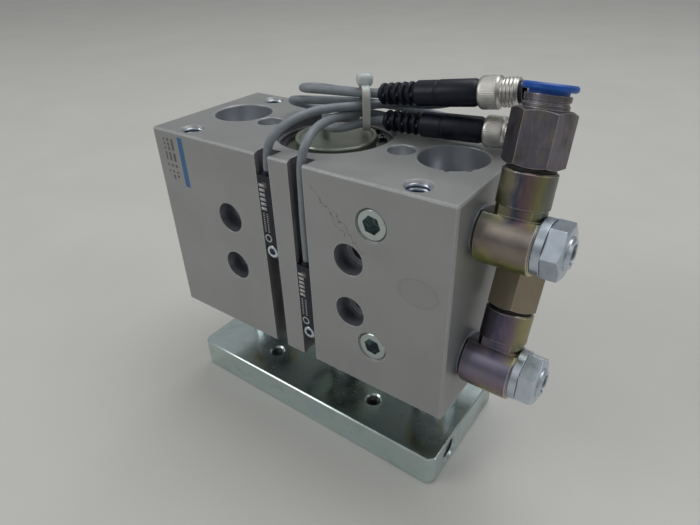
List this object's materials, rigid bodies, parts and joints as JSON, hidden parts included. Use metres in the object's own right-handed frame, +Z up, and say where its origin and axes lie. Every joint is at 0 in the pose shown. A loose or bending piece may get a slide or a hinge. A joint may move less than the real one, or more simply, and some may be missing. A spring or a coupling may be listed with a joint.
{
  "type": "guided pneumatic drive",
  "caption": "Compact pneumatic drive with twin guide rods and a yoke plate, swivel flow controls with push-in tube ports, and magnetic sensors on tied cables.",
  "frame": {"origin": "centre of the yoke plate's bottom face", "axes": "+Z up along the stroke, +X along the wide front face towards the air fittings, -Y out of the front face that holds the sensors"},
  "size_m": [0.1353, 0.0551, 0.1285],
  "materials": {
    "anodised_aluminium": "clear anodised, fine matt",
    "zinc_steel": "bluish zinc plated, glossy",
    "ground_steel": "hard chromed and ground",
    "black_screw": "black oxide",
    "turned_aluminium": "turned",
    "olive_cap": "turned, greenish conversion coat",
    "bright_zinc": "bright zinc plated",
    "black_rubber": "matt",
    "magnet": "plastic bonded magnet",
    "wear_plastic": "sliding plastic",
    "bronze": "sliding bronze",
    "yellow_zinc": "yellow iridescent passivated zinc",
    "bronze_zinc": "brown to violet passivated zinc",
    "dark_steel": "phosphated spring steel",
    "black_plastic": "moulded, satin",
    "clear_window": "translucent lens",
    "grey_cable": "soft jacket",
    "white_nylon": "translucent white",
    "nickel": "nickel plated",
    "blue_plastic": "moulded"
  },
  "bodies": {
    "yoke": {"yoke_plate": "zinc_steel", "guide_rod_left": "ground_steel", "guide_rod_right": "ground_steel", "guide_rod_screws": "black_screw", "piston_rod": "ground_steel", "piston_rod_screw": "black_screw", "piston": "turned_aluminium", "piston_screw": "bright_zinc", "piston_seal": "black_rubber", "piston_magnet": "magnet", "piston_wear_ring": "wear_plastic", "piston_bumpers": "black_rubber"},
    "housing": {"housing": "anodised_aluminium", "guide_bushes_left": "bronze", "guide_bushes_right": "bronze", "rear_end_cap": "olive_cap", "rear_cap_oring": "black_rubber", "rear_circlip": "dark_steel", "rod_bearing_cap": "turned_aluminium", "rod_bush": "bronze", "rod_seal": "black_rubber", "bearing_cap_oring": "black_rubber", "bearing_circlip": "dark_steel", "port_plugs": "zinc_steel", "sensor_left": "black_plastic", "sensor_right": "black_plastic", "sensor_clamp_screws": "bright_zinc", "sensor_windows": "clear_window", "cable_left": "grey_cable", "cable_right": "grey_cable", "cable_tie": "white_nylon", "port_seals": "bright_zinc", "bolt_washers": "bright_zinc", "connector_boot_upper": "black_plastic", "connector_grip_upper": "black_plastic", "contact_insert_upper": "black_plastic", "banjo_bolt_upper": "bright_zinc", "connector_boot_lower": "black_plastic", "connector_grip_lower": "black_plastic", "contact_insert_lower": "black_plastic", "banjo_bolt_lower": "bright_zinc"},
    "swivel_upper": {"swivel_body_upper": "yellow_zinc", "push_in_body_upper": "bronze_zinc", "push_in_gasket_upper": "black_rubber", "tube_oring_upper": "black_rubber", "collet_upper": "nickel"},
    "release_ring_upper": {"release_ring_upper": "blue_plastic"},
    "throttle_upper": {"adjusting_screw_upper": "dark_steel"},
    "nut_upper": {"coupling_nut_upper": "nickel"},
    "swivel_lower": {"swivel_body_lower": "yellow_zinc", "push_in_body_lower": "bronze_zinc", "push_in_gasket_lower": "black_rubber", "tube_oring_lower": "black_rubber", "collet_lower": "nickel"},
    "release_ring_lower": {"release_ring_lower": "blue_plastic"},
    "throttle_lower": {"adjusting_screw_lower": "dark_steel"},
    "nut_lower": {"coupling_nut_lower": "nickel"}
  },
  "joints": [
    {"name": "stroke", "type": "slide", "parent": "yoke", "child": "housing", "axis": [0, 0, 1], "range_m": [0, 0.025]},
    {"name": "swivel_upper", "type": "hinge", "parent": "housing", "child": "swivel_upper", "pos_m": [0.0651, -0.011, 0.0915], "axis": [1, 0, 0], "range_deg": [-60, 75]},
    {"name": "release_upper", "type": "slide", "parent": "swivel_upper", "child": "release_ring_upper", "axis": [0, -0.2419, -0.9703], "range_m": [0, 0.0007], "stiffness_N_per_m": 1500},
    {"name": "throttle_upper", "type": "hinge", "parent": "housing", "child": "throttle_upper", "pos_m": [0.07, -0.011, 0.0915], "axis": [1, 0, 0], "continuous": true},
    {"name": "coupling_upper", "type": "hinge", "parent": "housing", "child": "nut_upper", "pos_m": [0.04567, 0.01182, 0.11937], "axis": [0.9903, 0.0535, 0.1285], "continuous": true},
    {"name": "swivel_lower", "type": "hinge", "parent": "housing", "child": "swivel_lower", "pos_m": [0.0651, -0.011, 0.05], "axis": [1, 0, 0], "range_deg": [-160, 0]},
    {"name": "release_lower", "type": "slide", "parent": "swivel_lower", "child": "release_ring_lower", "axis": [0, -0.3502, -0.9367], "range_m": [0, 0.0007], "stiffness_N_per_m": 1500},
    {"name": "throttle_lower", "type": "hinge", "parent": "housing", "child": "throttle_lower", "pos_m": [0.07, -0.011, 0.05], "axis": [1, 0, 0], "continuous": true},
    {"name": "coupling_lower", "type": "hinge", "parent": "housing", "child": "nut_lower", "pos_m": [0.04762, 0.01308, 0.10866], "axis": [0.9946, 0.0966, 0.0369], "continuous": true}
  ]
}
